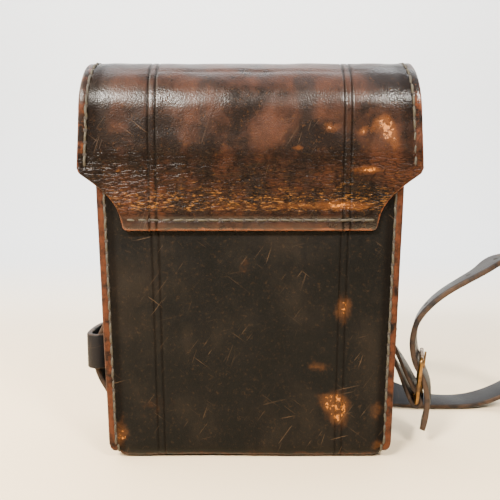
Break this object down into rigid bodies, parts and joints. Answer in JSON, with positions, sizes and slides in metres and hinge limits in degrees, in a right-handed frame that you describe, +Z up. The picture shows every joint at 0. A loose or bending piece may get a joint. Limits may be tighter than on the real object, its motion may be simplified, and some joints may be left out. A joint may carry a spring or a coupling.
{
  "type": "leather camera carrying case",
  "caption": "Box-shaped stitched leather camera case with a deep lid hinged along its back, a front strap closure and a buckled shoulder strap.",
  "frame": {"origin": "centre of the body's footprint on the table", "axes": "+Z up, -Y the hinged back, +Y the buckled front, +X the side of the shoulder strap's buckle"},
  "size_m": [0.2442, 0.1876, 0.1744],
  "materials": {
    "body_leather": "satin, worn at the edges",
    "lid_leather": "satin, creased and worn",
    "strap_leather": "satin",
    "linen_thread": "waxed matt",
    "lining_cloth": "short pile",
    "buckle_brass": "tarnished"
  },
  "bodies": {
    "case": {"body_strip": "body_leather", "body_end_left": "body_leather", "body_end_right": "body_leather", "body_lining": "lining_cloth", "lining_end_left": "lining_cloth", "lining_end_right": "lining_cloth", "body_thread_left": "linen_thread", "body_thread_right": "linen_thread", "hinge_flap": "lid_leather", "hinge_thread": "linen_thread", "side_loop_left": "strap_leather", "side_loop_thread": "linen_thread", "strap_chape_right": "strap_leather", "chape_thread": "linen_thread", "strap_buckle": "buckle_brass", "strap_prong": "buckle_brass", "shoulder_strap": "strap_leather", "shoulder_strap_coil": "strap_leather", "shoulder_strap_end": "strap_leather", "strap_end_thread": "linen_thread", "front_chape": "strap_leather", "front_chape_thread": "linen_thread", "front_keeper": "strap_leather"},
    "lid": {"lid_strip": "lid_leather", "lid_end_left": "lid_leather", "lid_end_right": "lid_leather", "lid_lining": "lining_cloth", "lid_thread_left": "linen_thread", "lid_thread_right": "linen_thread", "closing_strap_tab": "strap_leather", "closing_tab_thread": "linen_thread"},
    "closing_strap": {"closing_strap": "strap_leather"},
    "front_buckle": {"front_buckle_frame": "buckle_brass"},
    "front_prong": {"front_buckle_prong": "buckle_brass"}
  },
  "joints": [
    {"name": "lid_hinge", "type": "hinge", "parent": "case", "child": "lid", "pos_m": [0, -0.0289, 0.126], "axis": [1, 0, 0], "range_deg": [0, 120]},
    {"name": "closing_strap_flex", "type": "hinge", "parent": "lid", "child": "closing_strap", "pos_m": [0, 0.032, 0.129], "axis": [1, 0, 0], "range_deg": [0, 55]},
    {"name": "front_buckle_pivot", "type": "hinge", "parent": "case", "child": "front_buckle", "pos_m": [0, 0.0287, 0.086], "axis": [-1, 0, 0], "range_deg": [0, 60]},
    {"name": "front_prong_pivot", "type": "hinge", "parent": "front_buckle", "child": "front_prong", "pos_m": [0, 0.0287, 0.086], "axis": [-1, 0, 0], "range_deg": [0, 60]}
  ]
}
